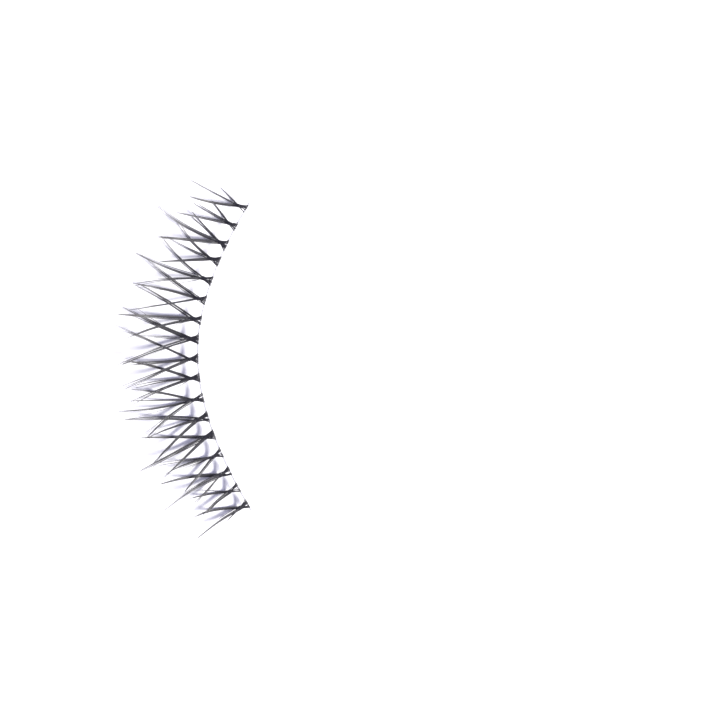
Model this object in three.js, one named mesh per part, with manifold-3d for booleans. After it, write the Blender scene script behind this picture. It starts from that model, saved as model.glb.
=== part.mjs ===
// A strip of false eyelashes: a fine clear band that follows the edge of the upper eyelid, with a row of
// criss-cross tufts tied along it. Each tuft's locks cross at a small knot just in front of the band, sag to a
// belly and curl up to their tips. The strip lies belly down, as it does by itself on a table.
// Millimetres and degrees. +X runs along the strip to the outer corner of the eye, -Y is where the lashes
// point, +Z is up. The origin is under the middle of the strip, at the height that it rests on.
import * as THREE from "three";
import { mergeVertices } from "three/addons/utils/BufferGeometryUtils.js";
import Module from "manifold-3d";

// The band: two bows of the lid's curve that meet at its foremost point. It lies level as far as that point,
// and sinks by outerDrop to its outer end.
const bandWidth = 0.16;
const bandThick = 0.12;
const innerRun = 14.95;
const innerSag = 5.15;
const outerRun = 15.8;
const outerSag = 5.4;
const outerDrop = 0.45;
const endSlope = 31;
const innerTail = 0.6;
const outerTail = 0.85;

// The roots and the knot of a tuft. The roots lie level across the band and rootLedge beyond it. They stand
// fanHalf at most to either side of the tuft's middle.
const rootGap = 0.03;
const rootOverhang = 0.03;
const rootLedge = 0.08;
const rootWidth = 0.24;
const rootThick = 0.14;
const neck = 0.9;
const fanHalf = 0.4;
const knotWidth = 0.4;
const knotThick = 0.24;

// The locks: their largest length in plan past the knot, their widest section, and how late they taper
const lashReach = 8;
const lockWidth = 0.4;
const lockThick = 0.16;
const tipWidth = 0.04;
const taperPower = 0.6;

// The curl, in side view: how far the belly lies below the roots, how far out it lies as a share of lashReach, how
// flat it is, and how far the tips rise above it
const bellyDrop = 1.1;
const bellyShare = 0.3;
const curlPower = 3;
const tipRise = 2.6;
const cornerShare = 0.65;

// Locks that lean to the outer corner pass over those that lean to the inner one: they rise by up to layerLift,
// most of it within layerLean degrees, along the first layerRun past the knot. At lashReach past it they have
// risen by layerSpread times as much again.
const layerLift = 0.22;
const layerSpread = 1.5;
const layerLean = 14;
const layerRun = 1.3;

// Facets
const bandSteps = 28;
const lockSides = 6;
const lockSteps = 6;
const knotSides = 8;
const knotRings = 5;

// One row for each tuft, from the inner corner. shift: its place off the even pitch, as a share of it. stem: the
// length of its neck, as a share of neck. In a lock's row, lean: degrees to the outer corner off the tuft's own
// straight line. reach: its length as a share of lashReach. width: its width as a share of lockWidth. bow: how
// far its middle bends to the outer corner, as a share of its own length.
const tufts = [
  { shift: 0.08, stem: 0.93, locks: [
    { lean: -16, reach: 0.33, width: 0.4, bow: 0 },
    { lean: 2.5, reach: 0.66, width: 0.5, bow: 0 },
    { lean: 20.5, reach: 0.6, width: 0.65, bow: 0.03 },
  ] },
  { shift: 0.08, stem: 0.92, locks: [
    { lean: -25, reach: 0.35, width: 0.4, bow: 0 },
    { lean: -2.5, reach: 0.51, width: 0.5, bow: 0 },
    { lean: 17, reach: 0.65, width: 0.65, bow: 0 },
  ] },
  { shift: 0.14, stem: 0.85, locks: [
    { lean: -20, reach: 0.53, width: 0.6, bow: 0 },
    { lean: -4, reach: 0.87, width: 0.7, bow: 0.04 },
    { lean: 21, reach: 0.76, width: 0.8, bow: 0 },
  ] },
  { shift: 0.06, stem: 0.94, locks: [
    { lean: -25, reach: 0.65, width: 0.5, bow: 0.05 },
    { lean: -3, reach: 0.61, width: 0.5, bow: 0.02 },
    { lean: 26.5, reach: 0.64, width: 0.75, bow: 0 },
  ] },
  { shift: 0.1, stem: 0.97, locks: [
    { lean: -25, reach: 0.75, width: 0.6, bow: 0.045 },
    { lean: -1, reach: 0.89, width: 0.85, bow: 0.03 },
    { lean: 24.5, reach: 0.85, width: 0.7, bow: -0.03 },
  ] },
  { shift: 0.12, stem: 0.82, locks: [
    { lean: -22, reach: 0.88, width: 0.9, bow: 0.02 },
    { lean: 2.5, reach: 0.83, width: 0.6, bow: -0.02 },
    { lean: 25.5, reach: 0.86, width: 0.5, bow: 0 },
  ] },
  { shift: 0.17, stem: 0.84, locks: [
    { lean: -21, reach: 0.83, width: 0.75, bow: -0.02 },
    { lean: 7, reach: 0.94, width: 1, bow: 0 },
    { lean: 26.5, reach: 0.84, width: 0.6, bow: -0.04 },
  ] },
  { shift: 0.15, stem: 0.85, locks: [
    { lean: -21, reach: 0.93, width: 0.95, bow: 0.02 },
    { lean: 1, reach: 0.63, width: 0.65, bow: 0 },
    { lean: 25, reach: 0.95, width: 0.8, bow: -0.02 },
  ] },
  { shift: 0.14, stem: 0.92, locks: [
    { lean: -27, reach: 1, width: 0.55, bow: 0 },
    { lean: 1.5, reach: 0.84, width: 0.85, bow: 0.02 },
    { lean: 21.5, reach: 0.91, width: 0.9, bow: 0 },
  ] },
  { shift: 0.08, stem: 0.93, locks: [
    { lean: -23, reach: 0.83, width: 0.65, bow: -0.02 },
    { lean: 1, reach: 0.7, width: 0.7, bow: -0.03 },
    { lean: 15, reach: 0.8, width: 0.8, bow: -0.02 },
  ] },
  { shift: 0.13, stem: 1.17, locks: [
    { lean: -23, reach: 0.78, width: 0.45, bow: -0.02 },
    { lean: -12, reach: 0.79, width: 0.35, bow: 0 },
    { lean: -4, reach: 0.91, width: 0.65, bow: 0.03 },
    { lean: 27, reach: 0.75, width: 0.75, bow: -0.04 },
  ] },
  { shift: 0.11, stem: 1.15, locks: [
    { lean: -17, reach: 0.91, width: 1, bow: -0.02 },
    { lean: 3, reach: 0.62, width: 0.65, bow: -0.02 },
    { lean: 28, reach: 0.8, width: 0.7, bow: -0.02 },
  ] },
  { shift: 0.06, stem: 0.95, locks: [
    { lean: -20, reach: 0.86, width: 0.65, bow: 0 },
    { lean: 7, reach: 0.94, width: 0.9, bow: 0 },
    { lean: 24, reach: 0.71, width: 0.7, bow: 0 },
  ] },
  { shift: 0.11, stem: 1, locks: [
    { lean: -16, reach: 0.68, width: 0.3, bow: 0 },
    { lean: -4, reach: 0.63, width: 0.6, bow: -0.04 },
    { lean: 27, reach: 0.56, width: 0.75, bow: 0.01 },
  ] },
  { shift: 0.08, stem: 1.14, locks: [
    { lean: -18, reach: 0.75, width: 0.85, bow: -0.04 },
    { lean: 6, reach: 0.8, width: 1, bow: -0.04 },
    { lean: 23, reach: 0.48, width: 0.55, bow: 0 },
  ] },
  { shift: 0.01, stem: 1.08, locks: [
    { lean: -18, reach: 0.51, width: 0.45, bow: -0.02 },
    { lean: 13, reach: 0.44, width: 1, bow: -0.03 },
  ] },
  { shift: -0.02, stem: 0.97, locks: [
    { lean: -19, reach: 0.6, width: 0.65, bow: -0.05 },
    { lean: 5, reach: 0.64, width: 0.95, bow: -0.03 },
    { lean: 16, reach: 0.23, width: 0.3, bow: 0 },
  ] },
];

const lashMaterial = new THREE.MeshStandardMaterial({ color: 0x1c1b20, roughness: 0.55, metalness: 0 });
const bandMaterial = new THREE.MeshStandardMaterial({
  color: 0xe9edf1,
  roughness: 0.2,
  metalness: 0,
  transparent: true,
  opacity: 0.35,
});

const wasm = await Module();
wasm.setup();

const up = new THREE.Vector3(0, 0, 1);
const radians = THREE.MathUtils.degToRad;

function solid(geometry) {
  const bare = geometry.clone();
  bare.deleteAttribute("normal");
  bare.deleteAttribute("uv");
  const merged = mergeVertices(bare, 1e-4);
  const mesh = new wasm.Mesh({
    numProp: 3,
    vertProperties: new Float32Array(merged.attributes.position.array),
    triVerts: new Uint32Array(merged.index.array),
  });
  return new wasm.Manifold(mesh);
}

function geometryOf(body) {
  const mesh = body.getMesh();
  const geometry = new THREE.BufferGeometry();
  geometry.setAttribute("position", new THREE.BufferAttribute(new Float32Array(mesh.vertProperties), 3));
  geometry.setIndex(new THREE.BufferAttribute(new Uint32Array(mesh.triVerts), 1));
  geometry.computeVertexNormals();
  return geometry;
}

// The band's middle line at the roots' height zero, from the inner end to the outer one. Each half starts level
// at the apex and ends at endSlope.
function bandLine() {
  const slope = Math.tan(radians(endSlope));
  const apex = new THREE.Vector3(0, 0, 0);
  const innerEnd = new THREE.Vector3(-innerRun, innerSag, 0);
  const outerEnd = new THREE.Vector3(outerRun, outerSag, 0);
  const innerPull = new THREE.Vector3(-innerRun + innerSag / slope, 0, 0);
  const outerPull = new THREE.Vector3(outerRun - outerSag / slope, 0, 0);
  const line = new THREE.CurvePath();
  line.add(new THREE.QuadraticBezierCurve3(innerEnd, innerPull, apex));
  line.add(new THREE.QuadraticBezierCurve3(apex, outerPull, outerEnd));
  return line;
}

function forwardOf(tangent) {
  return new THREE.Vector3().crossVectors(tangent, up).normalize();
}

// How far the band has sunk at a place along the strip: it is level as far as the apex, and nearly so beyond it
function dropAt(x) {
  return x > 0 ? outerDrop * (x / outerRun) ** 4 : 0;
}

function band(line) {
  const outline = new THREE.Shape();
  for (const side of [1, -1]) {
    for (let step = 0; step <= bandSteps; step += 1) {
      const share = side > 0 ? step / bandSteps : 1 - step / bandSteps;
      const middle = line.getPointAt(share);
      const edge = middle.addScaledVector(forwardOf(line.getTangentAt(share)), (side * bandWidth) / 2);
      if (side > 0 && step === 0) {
        outline.moveTo(edge.x, edge.y);
      } else {
        outline.lineTo(edge.x, edge.y);
      }
    }
  }
  const geometry = new THREE.ExtrudeGeometry(outline, { depth: bandThick, bevelEnabled: false });
  geometry.translate(0, 0, -rootThick / 2 - rootGap - bandThick);
  const position = geometry.attributes.position;
  for (let i = 0; i < position.count; i += 1) {
    position.setZ(i, position.getZ(i) - dropAt(position.getX(i)));
  }
  return geometry;
}

// The height of the curl above the level roots, at a distance out from the band. along is -1 at the inner end of
// the strip and 1 at the outer end, where the lashes and so their curl are shorter. drop is how far the band has
// sunk there.
function curlHeight(out, along, drop) {
  const size = 1 - (1 - cornerShare) * along * along;
  const run = Math.max(0, out - bandWidth / 2 - rootLedge);
  const belly = bellyShare * lashReach * size;
  if (run < belly) {
    return (bellyDrop - drop) * (1 - run / belly) ** curlPower - bellyDrop;
  }
  const past = (run - belly) / (lashReach * size - belly);
  return tipRise * size * past ** curlPower - bellyDrop;
}

// A tube with flattened, tapered sections: a cylinder whose rings are moved onto the stations
function tube(stations) {
  const geometry = new THREE.CylinderGeometry(1, 1, 1, lockSides, stations.length - 1);
  const position = geometry.attributes.position;
  const last = stations.length - 1;
  for (let i = 0; i < position.count; i += 1) {
    const ring = Math.round((position.getY(i) + 0.5) * last);
    const station = stations[ring];
    const before = stations[Math.max(ring - 1, 0)].point;
    const after = stations[Math.min(ring + 1, last)].point;
    const along = new THREE.Vector3().subVectors(after, before).normalize();
    const across = new THREE.Vector3().crossVectors(along, up).normalize();
    const over = new THREE.Vector3().crossVectors(across, along);
    const place = station.point
      .clone()
      .addScaledVector(across, (position.getX(i) * station.width) / 2)
      .addScaledVector(over, (position.getZ(i) * station.thick) / 2);
    position.setXYZ(i, place.x, place.y, place.z);
  }
  return geometry;
}

// One lock, from its root on the band through the knot to its tip
function lock(row, stem, seat) {
  const lean = radians(row.lean);
  const reach = row.reach * lashReach;
  const fullWidth = row.width * lockWidth;
  const fullThick = Math.sqrt(row.width) * lockThick;
  const layer = Math.tanh(row.lean / layerLean) * layerLift;
  // forward and aside are measured from the knot
  const place = (forward, aside) =>
    seat.root
      .clone()
      .addScaledVector(seat.forward, stem + forward)
      .addScaledVector(seat.aside, aside);
  const stations = [];
  const ledge = bandWidth / 2 + rootLedge;
  for (const out of [-bandWidth / 2 - rootOverhang, ledge, (ledge + stem) / 2]) {
    const forward = out - stem;
    const aside = THREE.MathUtils.clamp(-stem * Math.tan(lean), -fanHalf, fanHalf);
    const point = place(forward, (aside * -forward) / stem);
    point.setZ(curlHeight(out, seat.along, dropAt(point.x)));
    stations.push({ point, width: rootWidth, thick: rootThick });
  }
  for (let step = 0; step <= lockSteps; step += 1) {
    const share = step / lockSteps;
    const far = share * reach;
    const bend = row.bow * reach * Math.sin(Math.PI * share);
    const forward = far * Math.cos(lean) - bend * Math.sin(lean);
    const aside = far * Math.sin(lean) + bend * Math.cos(lean);
    const parting = THREE.MathUtils.smoothstep(far, 0, layerRun) + layerSpread * (far / lashReach) ** 2;
    const taper = (1 - share) ** taperPower;
    stations.push({
      point: place(forward, aside).setZ(curlHeight(stem + far, seat.along, seat.drop) + layer * parting),
      width: tipWidth + (fullWidth - tipWidth) * taper,
      thick: tipWidth + (fullThick - tipWidth) * taper,
    });
  }
  return solid(tube(stations));
}

function tuft(row, seat) {
  const stem = row.stem * neck;
  const knot = new THREE.SphereGeometry(0.5, knotSides, knotRings);
  knot.scale(knotWidth, knotWidth, knotThick);
  const middle = seat.root.clone().addScaledVector(seat.forward, stem);
  knot.translate(middle.x, middle.y, curlHeight(stem, seat.along, seat.drop));
  let body = solid(knot);
  for (const each of row.locks) {
    body = body.add(lock(each, stem, seat));
  }
  return geometryOf(body);
}

const strip = new THREE.Group();
const line = bandLine();
const length = line.getLength();
const pitch = (length - innerTail - outerTail) / (tufts.length - 1);

const bandMesh = new THREE.Mesh(band(line), bandMaterial);
bandMesh.name = "band";
strip.add(bandMesh);

tufts.forEach((row, index) => {
  const share = (innerTail + (index + row.shift) * pitch) / length;
  const tangent = line.getTangentAt(share);
  const root = line.getPointAt(share);
  const seat = {
    root,
    aside: tangent,
    forward: forwardOf(tangent),
    along: 2 * share - 1,
    drop: dropAt(root.x),
  };
  const mesh = new THREE.Mesh(tuft(row, seat), lashMaterial);
  mesh.name = "lash_tuft_" + String(index + 1).padStart(2, "0");
  strip.add(mesh);
});

// The strip stands on its lowest point, centred over the origin
const box = new THREE.Box3().setFromObject(strip);
const middle = box.getCenter(new THREE.Vector3());
strip.position.set(-middle.x, -middle.y, -box.min.z);

const part = new THREE.Group();
part.add(strip);
export default part;
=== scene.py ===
"""Dresses the false eyelash strip: each tuft becomes a bundle of single tapered hairs on a clear thread.

The strip lies belly down on a white table and is seen from straight above, under one soft lamp in a
bright room.
"""
import math

import bmesh
import bpy
import numpy as np
from mathutils import Matrix, Vector


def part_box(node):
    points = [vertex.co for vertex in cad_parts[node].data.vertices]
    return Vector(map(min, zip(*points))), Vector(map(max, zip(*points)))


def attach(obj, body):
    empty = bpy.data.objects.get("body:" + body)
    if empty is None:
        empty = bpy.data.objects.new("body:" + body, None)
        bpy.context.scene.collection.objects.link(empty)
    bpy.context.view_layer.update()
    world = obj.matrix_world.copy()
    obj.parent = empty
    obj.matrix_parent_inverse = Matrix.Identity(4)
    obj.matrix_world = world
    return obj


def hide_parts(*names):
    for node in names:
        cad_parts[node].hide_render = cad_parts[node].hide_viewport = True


MM = 0.001

# The strip's sizes, in metres and degrees, as its solids have them
BAND_WIDTH = 0.16 * MM
BAND_THICK = 0.12 * MM
INNER_RUN = 14.95 * MM
INNER_SAG = 5.15 * MM
OUTER_RUN = 15.8 * MM
OUTER_SAG = 5.4 * MM
OUTER_DROP = 0.45 * MM
END_SLOPE = 31
INNER_TAIL = 0.6 * MM
OUTER_TAIL = 0.85 * MM
ROOT_GAP = 0.03 * MM
ROOT_THICK = 0.14 * MM
ROOT_LEDGE = 0.08 * MM
NECK = 0.9 * MM
FAN_HALF = 0.4 * MM
TOOTH_PITCH = 0.14 * MM
KNOT_WIDTH = 0.4 * MM
KNOT_THICK = 0.24 * MM
LASH_REACH = 8 * MM
LOCK_WIDTH = 0.4 * MM
LOCK_THICK = 0.16 * MM
BELLY_DROP = 1.1 * MM
BELLY_SHARE = 0.3
CURL_POWER = 3
TIP_RISE = 2.6 * MM
CORNER_SHARE = 0.65
LAYER_LIFT = 0.22 * MM
LAYER_SPREAD = 1.5
LAYER_LEAN = 14
LAYER_RUN = 1.3 * MM

# The hairs: their section, the steps along each stretch, and how many a lock has
HAIR_RADIUS = 0.035 * MM
HAIR_SIDES = 6
HAIR_WIDTHS = (0.8, 1.15)
HAIR_TAPER = 0.72
HAIR_TAPER_POWER = 1.8
WRAP_STEPS = 5
NECK_STEPS = 3
OUT_STEPS = 14
HAIRS_LEAST = 5
HAIRS_PER_WIDTH = 13
SEED = 11

# How a hair lies in its lock, in shares of the lock's width, thickness or reach, and in degrees
STRAND_LOOSE = 0.9
SIDE_BY_SIDE_FAN = 2
FAN_START = 0.3
SECTION_ROUND = 0.8
LOCK_SWELL = 1.25
LOCK_TIP = 0.04
LOCK_NARROW_POWER = 0.55
LOCK_FLATTEN = 0.8
SHORTER_BY = 0.3
SHORTER_POWER = 2.5
STRAY_USUAL = 0.2
STRAY_FAR = 2.2
STRAY_FAR_SHARE = 0.1

# The least height of a hair's middle over the table, as a share of HAIR_RADIUS
TABLE_CLEAR = 1.2

# Where a hair's root lies on the band and how it turns round it. Its thickness there is in shares of its own.
ROOT_CROSS = 1.3
ROOT_SPREAD = (0.75, 1.08)
ROOT_STRAY = 0.07 * MM
TOOTH_STRAY = 0.022 * MM
WRAP_ANGLES = (-115, 80)
WRAP_SWELL = 1.25
NECK_SWELL = (1.1, 0.8)
KNOT_SWELL = 0.85
KNOT_SWELL_END = 0.12

# The wisps, the drop in the knot and the thread
WISP_WIDTH = 0.12
WISP_RADIUS = 0.85
KNOT_FLAT = 0.8
THREAD_STEPS = 160
THREAD_SIDES = 16
BAND_POINTS = 401
LINE_STEP = 0.05 * MM

# The picture: it shows 72 mm of table, with the foremost point of the band at APEX_PIXEL
PICTURE_SIDE = 72 * MM
PICTURE_PIXELS = 720
APEX_PIXEL = (198, 353)
CAMERA_HEIGHT = 400 * MM
SENSOR = 36
CLIP_NEAR = 10 * MM
CLIP_FAR = 10
TABLE_HALF = 12

# The light, with angles in degrees: the lamp's bearing is from +Y to +X, and it is seen LAMP_HALF_LONG and
# LAMP_HALF_SHORT to either side of its middle
LAMP_FAR = 6
LAMP_WATTS = 22.5
LAMP_BEARING = 26
LAMP_HEIGHT = 35.5
LAMP_HALF_LONG = 12
LAMP_HALF_SHORT = 5
LAMP_COLOUR = (1.0, 0.985, 0.94)
ROOM_COLOUR = (0.73, 0.72, 1.0, 1)
ROOM_STRENGTH = 0.66

# One row for each tuft, from the inner corner. shift: its place off the even pitch, as a share of it. stem:
# the length of its neck, as a share of NECK. In a lock's row, lean: degrees to the outer corner off the
# tuft's own straight line. reach: its length as a share of LASH_REACH. width: its width as a share of
# LOCK_WIDTH. bow: how far its middle bends to the outer corner, as a share of its own length. split: how
# many strands it parts into, and fan: the degrees between the outermost two of them. fill: how densely its
# hairs stand, 1 being usual.
TUFTS = [
    {"shift": 0.08, "stem": 0.93, "locks": [
        {"lean": -16, "reach": 0.33, "width": 0.4, "bow": 0, "split": 1, "fan": 0, "fill": 0.7},
        {"lean": 2.5, "reach": 0.66, "width": 0.5, "bow": 0, "split": 1, "fan": 0, "fill": 1.15},
        {"lean": 20.5, "reach": 0.6, "width": 0.65, "bow": 0.03, "split": 1, "fan": 0, "fill": 1.15},
    ]},
    {"shift": 0.08, "stem": 0.92, "locks": [
        {"lean": -25, "reach": 0.35, "width": 0.4, "bow": 0, "split": 2, "fan": 2, "fill": 0.35},
        {"lean": -2.5, "reach": 0.51, "width": 0.5, "bow": 0, "split": 2, "fan": 2, "fill": 0.85},
        {"lean": 17, "reach": 0.65, "width": 0.65, "bow": 0, "split": 1, "fan": 0, "fill": 1.15},
    ]},
    {"shift": 0.14, "stem": 0.85, "locks": [
        {"lean": -20, "reach": 0.53, "width": 0.6, "bow": 0, "split": 2, "fan": 5, "fill": 1},
        {"lean": -4, "reach": 0.87, "width": 0.7, "bow": 0.04, "split": 3, "fan": 2, "fill": 0.75},
        {"lean": 21, "reach": 0.76, "width": 0.8, "bow": 0, "split": 1, "fan": 0, "fill": 1.1},
    ]},
    {"shift": 0.06, "stem": 0.94, "locks": [
        {"lean": -25, "reach": 0.65, "width": 0.5, "bow": 0.05, "split": 2, "fan": 2, "fill": 0.7},
        {"lean": -3, "reach": 0.61, "width": 0.5, "bow": 0.02, "split": 1, "fan": 0, "fill": 0.9},
        {"lean": 26.5, "reach": 0.64, "width": 0.75, "bow": 0, "split": 1, "fan": 0, "fill": 1.1},
    ]},
    {"shift": 0.1, "stem": 0.97, "locks": [
        {"lean": -25, "reach": 0.75, "width": 0.6, "bow": 0.045, "split": 3, "fan": 2, "fill": 0.55},
        {"lean": -1, "reach": 0.89, "width": 0.85, "bow": 0.03, "split": 1, "fan": 0, "fill": 0.85},
        {"lean": 24.5, "reach": 0.85, "width": 0.7, "bow": -0.03, "split": 3, "fan": 4, "fill": 1},
    ]},
    {"shift": 0.12, "stem": 0.82, "locks": [
        {"lean": -22, "reach": 0.88, "width": 0.9, "bow": 0.02, "split": 4, "fan": 2, "fill": 0.42},
        {"lean": 2.5, "reach": 0.83, "width": 0.6, "bow": -0.02, "split": 1, "fan": 0, "fill": 1},
        {"lean": 25.5, "reach": 0.86, "width": 0.5, "bow": 0, "split": 1, "fan": 0, "fill": 1.1},
    ]},
    {"shift": 0.17, "stem": 0.84, "locks": [
        {"lean": -21, "reach": 0.83, "width": 0.75, "bow": -0.02, "split": 2, "fan": 2, "fill": 1},
        {"lean": 7, "reach": 0.94, "width": 1, "bow": 0, "split": 1, "fan": 0, "fill": 1},
        {"lean": 26.5, "reach": 0.84, "width": 0.6, "bow": -0.04, "split": 2, "fan": 0, "fill": 1},
    ]},
    {"shift": 0.15, "stem": 0.85, "locks": [
        {"lean": -21, "reach": 0.93, "width": 0.95, "bow": 0.02, "split": 1, "fan": 0, "fill": 1},
        {"lean": 1, "reach": 0.63, "width": 0.65, "bow": 0, "split": 1, "fan": 0, "fill": 1},
        {"lean": 25, "reach": 0.95, "width": 0.8, "bow": -0.02, "split": 2, "fan": 1, "fill": 1},
    ]},
    {"shift": 0.14, "stem": 0.92, "locks": [
        {"lean": -27, "reach": 1, "width": 0.55, "bow": 0, "split": 1, "fan": 0, "fill": 1},
        {"lean": 1.5, "reach": 0.84, "width": 0.85, "bow": 0.02, "split": 2, "fan": 3, "fill": 1},
        {"lean": 21.5, "reach": 0.91, "width": 0.9, "bow": 0, "split": 3, "fan": 3, "fill": 1.1},
    ]},
    {"shift": 0.08, "stem": 0.93, "locks": [
        {"lean": -23, "reach": 0.83, "width": 0.65, "bow": -0.02, "split": 1, "fan": 0, "fill": 1},
        {"lean": 1, "reach": 0.7, "width": 0.7, "bow": -0.03, "split": 2, "fan": 3, "fill": 1},
        {"lean": 15, "reach": 0.8, "width": 0.8, "bow": -0.02, "split": 2, "fan": 3, "fill": 1},
    ]},
    {"shift": 0.13, "stem": 1.17, "locks": [
        {"lean": -23, "reach": 0.78, "width": 0.45, "bow": -0.02, "split": 1, "fan": 0, "fill": 1},
        {"lean": -12, "reach": 0.79, "width": 0.35, "bow": 0, "split": 1, "fan": 0, "fill": 1},
        {"lean": -4, "reach": 0.91, "width": 0.65, "bow": 0.03, "split": 1, "fan": 0, "fill": 1},
        {"lean": 27, "reach": 0.75, "width": 0.75, "bow": -0.04, "split": 1, "fan": 0, "fill": 1.1},
    ]},
    {"shift": 0.11, "stem": 1.15, "locks": [
        {"lean": -17, "reach": 0.91, "width": 1, "bow": -0.02, "split": 1, "fan": 0, "fill": 1},
        {"lean": 3, "reach": 0.67, "width": 0.65, "bow": -0.02, "split": 1, "fan": 0, "fill": 1},
        {"lean": 28, "reach": 0.8, "width": 0.7, "bow": -0.02, "split": 1, "fan": 0, "fill": 1.1},
    ]},
    {"shift": 0.06, "stem": 0.95, "locks": [
        {"lean": -20, "reach": 0.86, "width": 0.65, "bow": 0, "split": 1, "fan": 0, "fill": 1},
        {"lean": 7, "reach": 0.94, "width": 0.9, "bow": 0, "split": 2, "fan": 0, "fill": 0.75},
        {"lean": 24, "reach": 0.71, "width": 0.7, "bow": 0, "split": 1, "fan": 0, "fill": 1},
    ]},
    {"shift": 0.11, "stem": 1, "locks": [
        {"lean": -16, "reach": 0.68, "width": 0.3, "bow": 0, "split": 2, "fan": 3, "fill": 0.7},
        {"lean": -4, "reach": 0.63, "width": 0.6, "bow": -0.04, "split": 1, "fan": 0, "fill": 0.7},
        {"lean": 27, "reach": 0.56, "width": 0.75, "bow": 0.01, "split": 1, "fan": 0, "fill": 1},
    ]},
    {"shift": 0.08, "stem": 1.14, "locks": [
        {"lean": -18, "reach": 0.75, "width": 0.85, "bow": -0.04, "split": 1, "fan": 0, "fill": 1},
        {"lean": 6, "reach": 0.8, "width": 1, "bow": -0.04, "split": 1, "fan": 0, "fill": 0.85},
        {"lean": 23, "reach": 0.48, "width": 0.55, "bow": 0, "split": 3, "fan": 5, "fill": 1},
    ]},
    {"shift": 0.01, "stem": 1.08, "locks": [
        {"lean": -18, "reach": 0.51, "width": 0.45, "bow": -0.02, "split": 1, "fan": 0, "fill": 1},
        {"lean": 13, "reach": 0.44, "width": 1, "bow": -0.03, "split": 1, "fan": 0, "fill": 1},
    ]},
    {"shift": -0.02, "stem": 0.97, "locks": [
        {"lean": -19, "reach": 0.6, "width": 0.65, "bow": -0.05, "split": 1, "fan": 0, "fill": 1},
        {"lean": 5, "reach": 0.64, "width": 0.95, "bow": -0.03, "split": 1, "fan": 0, "fill": 0.8},
        {"lean": 16, "reach": 0.23, "width": 0.3, "bow": 0, "split": 1, "fan": 0, "fill": 1},
    ]},
]

# Single hairs beside the locks. tuft: the number of their tuft. lean, reach and bow are as in a lock's row.
WISPS = [
    {"tuft": 1, "lean": 30, "reach": 0.22, "bow": 0},
    {"tuft": 4, "lean": 4, "reach": 0.35, "bow": 0},
    {"tuft": 5, "lean": 27, "reach": 0.7, "bow": 0.03},
    {"tuft": 7, "lean": 28.5, "reach": 0.5, "bow": 0},
    {"tuft": 8, "lean": 26, "reach": 0.9, "bow": 0},
    {"tuft": 9, "lean": 24, "reach": 0.8, "bow": 0},
    {"tuft": 10, "lean": 25, "reach": 0.48, "bow": 0},
    {"tuft": 11, "lean": 4, "reach": 0.88, "bow": 0.01},
    {"tuft": 14, "lean": -1, "reach": 0.6, "bow": 0},
    {"tuft": 14, "lean": 2, "reach": 0.5, "bow": 0},
    {"tuft": 14, "lean": -3, "reach": 0.8, "bow": 0},
    {"tuft": 16, "lean": -30, "reach": 0.48, "bow": 0},
]


class Field:
    """A shader value. Arithmetic on it adds the Math nodes."""

    def __init__(self, net, socket):
        self.net = net
        self.socket = socket

    def _math(self, operation, first, second):
        return self.net.node("ShaderNodeMath", {"operation": operation}, {0: first, 1: second})

    def __add__(self, other):
        return self._math("ADD", self, other)

    __radd__ = __add__

    def __sub__(self, other):
        return self._math("SUBTRACT", self, other)

    def __rsub__(self, other):
        return self._math("SUBTRACT", other, self)

    def __mul__(self, other):
        return self._math("MULTIPLY", self, other)

    __rmul__ = __mul__

    def __pow__(self, other):
        return self._math("POWER", self, other)


class Net:
    """The nodes of one material."""

    def __init__(self, name):
        self.material = bpy.data.materials.new(name)
        self.material.use_nodes = True
        self.nodes = self.material.node_tree.nodes
        self.links = self.material.node_tree.links
        self.shader = self.nodes["Principled BSDF"]

    def node(self, kind, settings=None, inputs=None, output=0):
        made = self.nodes.new(kind)
        for name, value in (settings or {}).items():
            if name == "stops":
                self._stops(made.color_ramp, value)
            else:
                setattr(made, name, value)
        for name, value in (inputs or {}).items():
            self.feed(made.inputs[name], value)
        return Field(self, made.outputs[output])

    def _stops(self, ramp, stops):
        while len(ramp.elements) < len(stops):
            ramp.elements.new(1)
        for element, (place, colour) in zip(ramp.elements, stops):
            element.position = place
            element.color = (*colour, 1)

    def feed(self, socket, value):
        if isinstance(value, Field):
            self.links.new(value.socket, socket)
        else:
            socket.default_value = value

    def shade(self, **values):
        for name, value in values.items():
            self.feed(self.shader.inputs[name.replace("_", " ")], value)


def hair_material():
    """Near-black synthetic hair: a satin sheen, small differences from hair to hair, paler thin tips."""
    net = Net("lash_hair")
    along = net.node("ShaderNodeAttribute", {"attribute_name": "along"}, output="Fac")
    tint = net.node("ShaderNodeAttribute", {"attribute_name": "tint"}, output="Fac")
    place = net.node("ShaderNodeTexCoord", output="Object")
    mottle = net.node("ShaderNodeTexNoise", inputs={"Vector": place, "Scale": 9000, "Detail": 3})
    shade = 0.55 * tint + 0.25 * mottle + 0.3 * along ** 3 - 0.3 * (1 - along) ** 4
    colour = net.node(
        "ShaderNodeValToRGB",
        {"stops": [(0.0, (0.032, 0.031, 0.034)), (0.5, (0.066, 0.065, 0.068)), (1.0, (0.136, 0.131, 0.132))]},
        {"Fac": shade},
    )
    scale = net.node("ShaderNodeTexNoise", inputs={"Vector": place, "Scale": 60000, "Detail": 2})
    bump = net.node("ShaderNodeBump", inputs={"Height": scale, "Strength": 0.15, "Distance": 0.004 * MM})
    net.shade(Base_Color=colour, Roughness=0.34 + 0.16 * mottle, Normal=bump)
    return net.material


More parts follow.
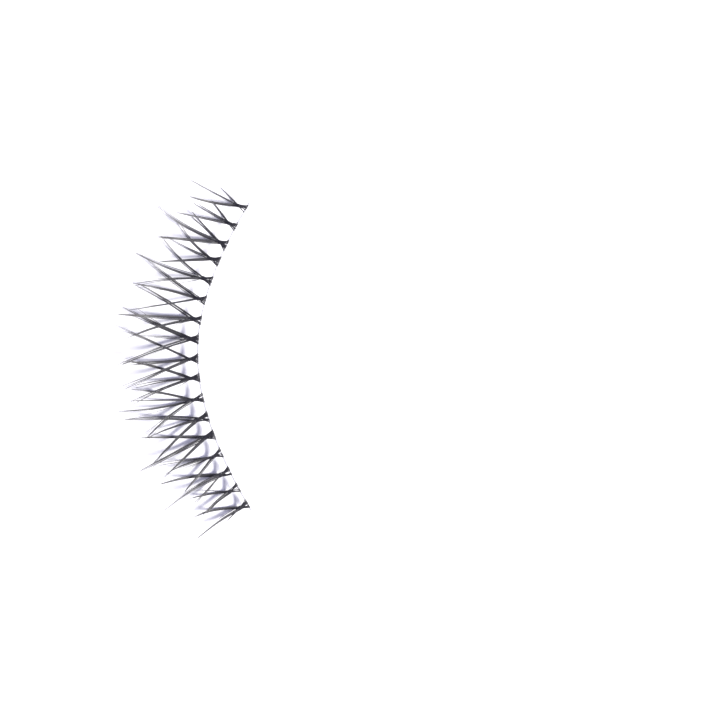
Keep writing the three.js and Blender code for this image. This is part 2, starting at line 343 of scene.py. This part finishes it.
def glue_material():
    """The dark, slightly glossy drop that holds a tuft's hairs together where they cross."""
    net = Net("knot_glue")
    place = net.node("ShaderNodeTexCoord", output="Object")
    mottle = net.node("ShaderNodeTexNoise", inputs={"Vector": place, "Scale": 12000, "Detail": 3})
    colour = net.node(
        "ShaderNodeValToRGB",
        {"stops": [(0.0, (0.007, 0.007, 0.01)), (1.0, (0.03, 0.028, 0.036))]},
        {"Fac": mottle},
    )
    bump = net.node("ShaderNodeBump", inputs={"Height": mottle, "Strength": 0.4, "Distance": 0.02 * MM})
    net.shade(Base_Color=colour, Roughness=0.22 + 0.2 * mottle, Normal=bump)
    return net.material


def thread_material():
    """Clear nylon: glossy and half see-through. Its grey colour is partly a trace of milkiness and partly
    painted shade for the dimming that refraction gives a clear thread.
    """
    net = Net("clear_thread")
    place = net.node("ShaderNodeTexCoord", output="Object")
    milk_and_shade = net.node("ShaderNodeTexNoise", inputs={"Vector": place, "Scale": 2500, "Detail": 4})
    # Grey, half-opaque colour: a trace of milkiness, plus painted shade standing in for the thread's
    # darkening by refraction
    colour = net.node(
        "ShaderNodeValToRGB",
        {"stops": [(0.0, (0.3, 0.3, 0.33)), (1.0, (0.42, 0.42, 0.46))]},
        {"Fac": milk_and_shade},
    )
    net.shade(Base_Color=colour, Roughness=0.12 + 0.15 * milk_and_shade, Alpha=0.4 + 0.2 * milk_and_shade, IOR=1.53)
    return net.material


def floor_material():
    """The matt white table, with faint clouds."""
    net = Net("white_table")
    place = net.node("ShaderNodeTexCoord", output="Object")
    cloud = net.node("ShaderNodeTexNoise", inputs={"Vector": place, "Scale": 12, "Detail": 2})
    colour = net.node(
        "ShaderNodeValToRGB",
        {"stops": [(0.0, (0.88, 0.88, 0.89)), (1.0, (0.9, 0.9, 0.9))]},
        {"Fac": cloud},
    )
    net.shade(Base_Color=colour, Roughness=0.9)
    return net.material


class Strip:
    """Where the strip lies: its band's line, and the curl of its lashes, in the frame's metres."""

    def __init__(self):
        low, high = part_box("band")
        slope = math.radians(END_SLOPE)
        self.origin = np.array([
            low.x + INNER_RUN + BAND_WIDTH / 2 * math.sin(slope),
            low.y + BAND_WIDTH / 2,
            high.z + ROOT_GAP + ROOT_THICK / 2,
        ])
        steps = np.linspace(0, 1, BAND_POINTS)[:, None]
        apex = np.zeros(2)
        inner_end = np.array([-INNER_RUN, INNER_SAG])
        outer_end = np.array([OUTER_RUN, OUTER_SAG])
        inner_pull = np.array([INNER_SAG / math.tan(slope) - INNER_RUN, 0])
        outer_pull = np.array([OUTER_RUN - OUTER_SAG / math.tan(slope), 0])
        inner = (1 - steps) ** 2 * inner_end + 2 * steps * (1 - steps) * inner_pull + steps**2 * apex
        outer = (1 - steps) ** 2 * apex + 2 * steps * (1 - steps) * outer_pull + steps**2 * outer_end
        self.plan = np.concatenate([inner, outer[1:]])
        lengths = np.linalg.norm(np.diff(self.plan, axis=0), axis=1)
        self.far = np.concatenate([[0], np.cumsum(lengths)])
        self.length = self.far[-1]

    def at(self, far):
        """The point of the band's line at a distance along it, and the line's direction there, in plan."""
        ends = [
            np.array([np.interp(f, self.far, self.plan[:, 0]), np.interp(f, self.far, self.plan[:, 1])])
            for f in (far - LINE_STEP, far, far + LINE_STEP)
        ]
        along = ends[2] - ends[0]
        return ends[1], along / np.linalg.norm(along)

    @staticmethod
    def drop(x):
        """How far the band has sunk at a place along the strip."""
        return OUTER_DROP * np.maximum(x / OUTER_RUN, 0) ** 4

    @staticmethod
    def curl(out, along, drop):
        """The height of the curl above the level roots, at a distance out from the band."""
        size = 1 - (1 - CORNER_SHARE) * along**2
        run = np.maximum(0, out - BAND_WIDTH / 2 - ROOT_LEDGE)
        belly = BELLY_SHARE * LASH_REACH * size
        falling = (BELLY_DROP - drop) * (1 - run / belly) ** CURL_POWER - BELLY_DROP
        rising = TIP_RISE * size * ((run - belly) / (LASH_REACH * size - belly)) ** CURL_POWER - BELLY_DROP
        return np.where(run < belly, falling, rising)


class Seat:
    """The place of one tuft on the band."""

    def __init__(self, strip, index, row):
        pitch = (strip.length - INNER_TAIL - OUTER_TAIL) / (len(TUFTS) - 1)
        far = INNER_TAIL + (index + row["shift"]) * pitch
        root, tangent = strip.at(far)
        self.strip = strip
        self.root = root
        self.aside = np.array([tangent[0], tangent[1], 0])
        self.forward = np.array([tangent[1], -tangent[0], 0])
        self.along = 2 * far / strip.length - 1
        self.drop = strip.drop(root[0])
        self.stem = row["stem"] * NECK

    def points(self, out, aside, height):
        """World points from distances out from the band, along it, and above the level roots."""
        base = self.strip.origin + np.array([*self.root, 0])
        return (
            base
            + out[:, None] * self.forward
            + aside[:, None] * self.aside
            + height[:, None] * np.array([0, 0, 1])
        )


def hair_template():
    """A straight hair of radius 1 and length 1 along Z, cut into rings: its corners and its faces."""
    rings = WRAP_STEPS + NECK_STEPS + OUT_STEPS
    form = bmesh.new()
    bmesh.ops.create_cone(
        form, cap_ends=True, cap_tris=False, segments=HAIR_SIDES, radius1=1, radius2=1, depth=1
    )
    for ring in range(1, rings):
        bmesh.ops.bisect_plane(
            form,
            geom=form.verts[:] + form.edges[:] + form.faces[:],
            plane_co=(0, 0, ring / rings - 0.5),
            plane_no=(0, 0, 1),
        )
    form.verts.index_update()
    corners = np.array([v.co[:] for v in form.verts])
    faces = [[v.index for v in face.verts] for face in form.faces]
    form.free()
    ring = np.round((corners[:, 2] + 0.5) * rings).astype(int)
    return corners[:, :2], ring, faces, rings


def smooth_path(points, counts):
    """Points on a smooth curve through the given ones, with a count of steps for each stretch of it."""
    padded = np.vstack([2 * points[0] - points[1], points, 2 * points[-1] - points[-2]])
    path = []
    for i, count in enumerate(counts):
        a, b, c, d = padded[i:i + 4]
        square = 2 * a - 5 * b + 4 * c - d
        cube = 3 * b - a - 3 * c + d
        for t in np.arange(count) / count:
            path.append(0.5 * (2 * b + (c - a) * t + square * t**2 + cube * t**3))
    path.append(points[-1])
    return np.array(path)


def wrap_points(seat, place, stack):
    """A root's turn round the band: from under it, through its back edge, to on top of it."""
    reach = BAND_WIDTH / 2 - HAIR_RADIUS + stack / 2
    rise = BAND_THICK / 2 + HAIR_RADIUS + stack
    middle = -ROOT_THICK / 2 - ROOT_GAP - BAND_THICK / 2
    angles = np.radians(np.linspace(*WRAP_ANGLES, WRAP_STEPS + 1))
    out = -reach * np.cos(angles)
    aside = np.full(len(angles), place)
    x = seat.root[0] + place * seat.aside[0]
    height = middle + rise * np.sin(angles) - seat.strip.drop(x)
    return seat.points(out, aside, height)


def lock_hairs(seat, row, random):
    """The paths, radii and tints of the hairs of one lock."""
    lean = math.radians(row["lean"])
    reach = row["reach"] * LASH_REACH
    half_width = row["width"] * LOCK_WIDTH / 2
    half_thick = math.sqrt(row["width"]) * LOCK_THICK / 2
    layer = math.tanh(row["lean"] / LAYER_LEAN) * LAYER_LIFT
    count = round(row["fill"] * (HAIRS_LEAST + HAIRS_PER_WIDTH * row["width"]))
    for index in range(count):
        strand = index % row["split"]
        side = 0 if row["split"] == 1 else 2 * strand / (row["split"] - 1) - 1
        # Strands that fan out start close together, and those that run side by side start apart
        loose = STRAND_LOOSE / row["split"]
        apart = 1 - loose if row["fan"] <= SIDE_BY_SIDE_FAN else FAN_START
        across = apart * side + random.uniform(-1, 1) * loose
        over = random.uniform(-1, 1) * math.sqrt(1 - SECTION_ROUND * across**2)
        stray = random.normal(0, STRAY_USUAL)
        stray += random.normal(0, STRAY_FAR) if random.random() < STRAY_FAR_SHARE else 0
        own = reach * (1 - SHORTER_BY * random.random() ** SHORTER_POWER)
        share = np.linspace(0, 1, OUT_STEPS + 1)
        far = share * own
        whole = far / reach
        fan = math.radians(row["fan"] / 2 * side)
        narrow = LOCK_TIP + (1 - LOCK_TIP) * (1 - whole) ** LOCK_NARROW_POWER
        sideways = LOCK_SWELL * across * half_width * narrow
        bend = (
            row["bow"] * reach * np.sin(np.pi * whole)
            + sideways
            + math.tan(fan) * far * whole
            + math.tan(math.radians(stray)) * far * whole
        )
        forward = far * math.cos(lean) - bend * math.sin(lean)
        aside = far * math.sin(lean) + bend * math.cos(lean)
        fade = np.clip(far / LAYER_RUN, 0, 1)
        lift = layer * (fade**2 * (3 - 2 * fade) + LAYER_SPREAD * (far / LASH_REACH) ** 2)
        rise = lift + over * half_thick * (1 - LOCK_FLATTEN * whole)
        out = seat.stem + forward
        height = seat.strip.curl(seat.stem + far, seat.along, seat.drop) + rise
        # No hair dips into the table
        height = np.maximum(height, HAIR_RADIUS * TABLE_CLEAR - seat.strip.origin[2])
        outward = seat.points(out, aside, height)
        # The root crosses to the other side of the tuft, because the hair is straight through the knot
        place = float(np.clip(-ROOT_CROSS * seat.stem * math.tan(lean), -FAN_HALF, FAN_HALF))
        place = place * random.uniform(*ROOT_SPREAD) + random.normal(0, ROOT_STRAY)
        place = round(place / TOOTH_PITCH) * TOOTH_PITCH + random.normal(0, TOOTH_STRAY)
        stack = HAIR_RADIUS * 2 * random.random()
        wrap = wrap_points(seat, place, stack)
        neck = smooth_path(
            np.array([wrap[-2], wrap[-1], outward[0], outward[1]]), [1, NECK_STEPS, 1]
        )[1:-2]
        path = np.vstack([wrap[:-1], neck, outward])
        width = random.uniform(*HAIR_WIDTHS)
        tail = np.concatenate([np.zeros(WRAP_STEPS + NECK_STEPS), share])
        # Hairs are thickest where they turn round the band, and thinnest between it and the knot
        swell = np.concatenate([
            np.full(WRAP_STEPS, WRAP_SWELL),
            np.linspace(*NECK_SWELL, NECK_STEPS),
            np.interp(share, [0, KNOT_SWELL_END], [KNOT_SWELL, 1]),
        ])
        radii = HAIR_RADIUS * width * (1 - HAIR_TAPER * tail**HAIR_TAPER_POWER) * swell
        yield path, radii, random.random()


def wisp_hair(seat, row, random):
    """A single hair beside the locks."""
    alone = {**row, "width": WISP_WIDTH, "split": 1, "fan": 0, "fill": 1}
    path, radii, tint = next(lock_hairs(seat, alone, random))
    return path, radii * WISP_RADIUS, tint


def hair_mesh(name, hairs, seat, template):
    """One mesh with a copy of the template bent along each hair's path."""
    corners, ring, faces, rings = template
    size = len(corners)
    points = []
    along = []
    tints = []
    for path, radii, tint in hairs:
        direction = np.gradient(path, axis=0)
        direction /= np.linalg.norm(direction, axis=1)[:, None]
        side = seat.aside - direction * (direction @ seat.aside)[:, None]
        side /= np.linalg.norm(side, axis=1)[:, None]
        over = np.cross(direction, side)
        points.append(
            path[ring]
            + radii[ring][:, None] * (corners[:, :1] * side[ring] + corners[:, 1:] * over[ring])
        )
        along.append(np.clip((ring - WRAP_STEPS) / (rings - WRAP_STEPS), 0, 1))
        tints.append(np.full(size, tint))
    mesh = bpy.data.meshes.new(name)
    all_faces = [[i + size * k for i in face] for k in range(len(points)) for face in faces]
    mesh.from_pydata(np.concatenate(points).tolist(), [], all_faces)
    for label, values in (("along", along), ("tint", tints)):
        layer = mesh.attributes.new(label, "FLOAT", "POINT")
        layer.data.foreach_set("value", np.concatenate(values).astype(np.float32))
    mesh.shade_smooth()
    mesh.update()
    return mesh


def link(name, mesh, material):
    piece = bpy.data.objects.new(name, mesh)
    bpy.context.scene.collection.objects.link(piece)
    mesh.materials.append(material)
    return piece


def knot_mesh(name, seat):
    """The drop of glue in the crossing, a little smaller than the hairs round it."""
    form = bmesh.new()
    bmesh.ops.create_icosphere(form, subdivisions=3, radius=0.5)
    bmesh.ops.scale(form, vec=(KNOT_WIDTH, KNOT_WIDTH, KNOT_THICK * KNOT_FLAT), verts=form.verts)
    middle = seat.points(
        np.array([seat.stem]),
        np.array([0.0]),
        np.array([float(seat.strip.curl(seat.stem, seat.along, seat.drop))]),
    )[0]
    bmesh.ops.translate(form, vec=Vector(middle), verts=form.verts)
    mesh = bpy.data.meshes.new(name)
    form.to_mesh(mesh)
    form.free()
    mesh.shade_smooth()
    return mesh


def tufts(strip):
    hair = hair_material()
    glue = glue_material()
    template = hair_template()
    for index, row in enumerate(TUFTS):
        node = f"lash_tuft_{index + 1:02d}"
        random = np.random.default_rng(SEED + index)
        seat = Seat(strip, index, row)
        hairs = [each for lock in row["locks"] for each in lock_hairs(seat, lock, random)]
        hairs += [wisp_hair(seat, wisp, random) for wisp in WISPS if wisp["tuft"] == index + 1]
        bundle = link(node + "_hairs", hair_mesh(node + "_hairs", hairs, seat, template), hair)
        knot = link(node + "_knot", knot_mesh(node + "_knot", seat), glue)
        for piece in (bundle, knot):
            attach(piece, "root")
            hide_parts(node)


def thread(strip):
    """The clear thread, as an oval section swept along the band's line."""
    section = bmesh.new()
    bmesh.ops.create_circle(section, segments=THREAD_SIDES, radius=0.5)
    ring = np.array([v.co[:2] for v in section.verts])
    section.free()
    middle = -ROOT_THICK / 2 - ROOT_GAP - BAND_THICK / 2
    form = bmesh.new()
    loops = []
    for step in range(THREAD_STEPS + 1):
        far = strip.length * step / THREAD_STEPS
        inside = min(max(far, LINE_STEP), strip.length - LINE_STEP)
        place, along = strip.at(inside)
        place = place + along * (far - inside)
        forward = np.array([along[1], -along[0], 0])
        centre = strip.origin + np.array([place[0], place[1], middle - strip.drop(place[0])])
        corners = [
            form.verts.new(centre + forward * a * BAND_WIDTH + np.array([0, 0, b * BAND_THICK]))
            for a, b in ring
        ]
        loops.append([
            form.edges.new((corners[i], corners[(i + 1) % len(corners)])) for i in range(len(corners))
        ])
    for first, second in zip(loops, loops[1:]):
        bmesh.ops.bridge_loops(form, edges=first + second)
    for end in (loops[0], loops[-1]):
        bmesh.ops.contextual_create(form, geom=end)
    bmesh.ops.recalc_face_normals(form, faces=form.faces)
    mesh = bpy.data.meshes.new("band_thread")
    form.to_mesh(mesh)
    form.free()
    mesh.shade_smooth()
    piece = link("band_thread", mesh, thread_material())
    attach(piece, "root")
    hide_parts("band")


def table():
    form = bmesh.new()
    bmesh.ops.create_grid(form, x_segments=8, y_segments=8, size=TABLE_HALF)
    mesh = bpy.data.meshes.new("table")
    form.to_mesh(mesh)
    form.free()
    floor = link("table", mesh, floor_material())


def camera(strip):
    """Looks straight down with the strip's length running down the picture, as in the photograph."""
    scale = PICTURE_SIDE / PICTURE_PIXELS
    centre = PICTURE_PIXELS / 2
    data = bpy.data.cameras.new("camera")
    data.sensor_width = SENSOR
    data.lens = SENSOR * CAMERA_HEIGHT / PICTURE_SIDE
    data.clip_start = CLIP_NEAR
    data.clip_end = CLIP_FAR
    eye = bpy.data.objects.new("camera", data)
    eye.location = (
        strip.origin[0] + (centre - APEX_PIXEL[1]) * scale,
        strip.origin[1] + (centre - APEX_PIXEL[0]) * scale,
        CAMERA_HEIGHT,
    )
    eye.rotation_euler = (0, 0, math.radians(90))
    bpy.context.scene.collection.objects.link(eye)
    bpy.context.scene.camera = eye


def lights():
    """One long soft lamp from the picture's lower right, and a bright, faintly lilac room."""
    bearing = math.radians(LAMP_BEARING)
    height = math.radians(LAMP_HEIGHT)
    toward = Vector((
        math.sin(bearing) * math.cos(height),
        math.cos(bearing) * math.cos(height),
        math.sin(height),
    ))
    data = bpy.data.lights.new("lamp", "AREA")
    data.shape = "RECTANGLE"
    data.size = 2 * LAMP_FAR * math.tan(math.radians(LAMP_HALF_LONG))
    data.size_y = 2 * LAMP_FAR * math.tan(math.radians(LAMP_HALF_SHORT))
    data.energy = LAMP_WATTS * LAMP_FAR**2
    data.color = LAMP_COLOUR
    lamp = bpy.data.objects.new("lamp", data)
    lamp.location = toward * LAMP_FAR
    # Its long side lies as the strip does, so that the shadows are drawn out that way
    long_side = (Vector((1, 0, 0)) - toward * toward.x).normalized()
    lamp.rotation_euler = Matrix((long_side, toward.cross(long_side), toward)).transposed().to_euler()
    bpy.context.scene.collection.objects.link(lamp)
    world = bpy.data.worlds.new("room")
    world.use_nodes = True
    sky = world.node_tree.nodes["Background"]
    sky.inputs["Color"].default_value = ROOM_COLOUR
    sky.inputs["Strength"].default_value = ROOM_STRENGTH
    bpy.context.scene.world = world
    bpy.context.scene.view_settings.view_transform = "Standard"
    bpy.context.scene.view_settings.look = "None"


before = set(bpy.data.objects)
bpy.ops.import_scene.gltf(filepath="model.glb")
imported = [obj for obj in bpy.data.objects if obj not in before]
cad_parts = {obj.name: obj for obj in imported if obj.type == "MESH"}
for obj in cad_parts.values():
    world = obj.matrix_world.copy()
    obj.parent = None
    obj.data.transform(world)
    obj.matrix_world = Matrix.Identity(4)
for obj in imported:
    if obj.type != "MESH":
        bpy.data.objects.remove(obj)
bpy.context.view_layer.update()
strip = Strip()
camera(strip)
lights()
table()
thread(strip)
tufts(strip)
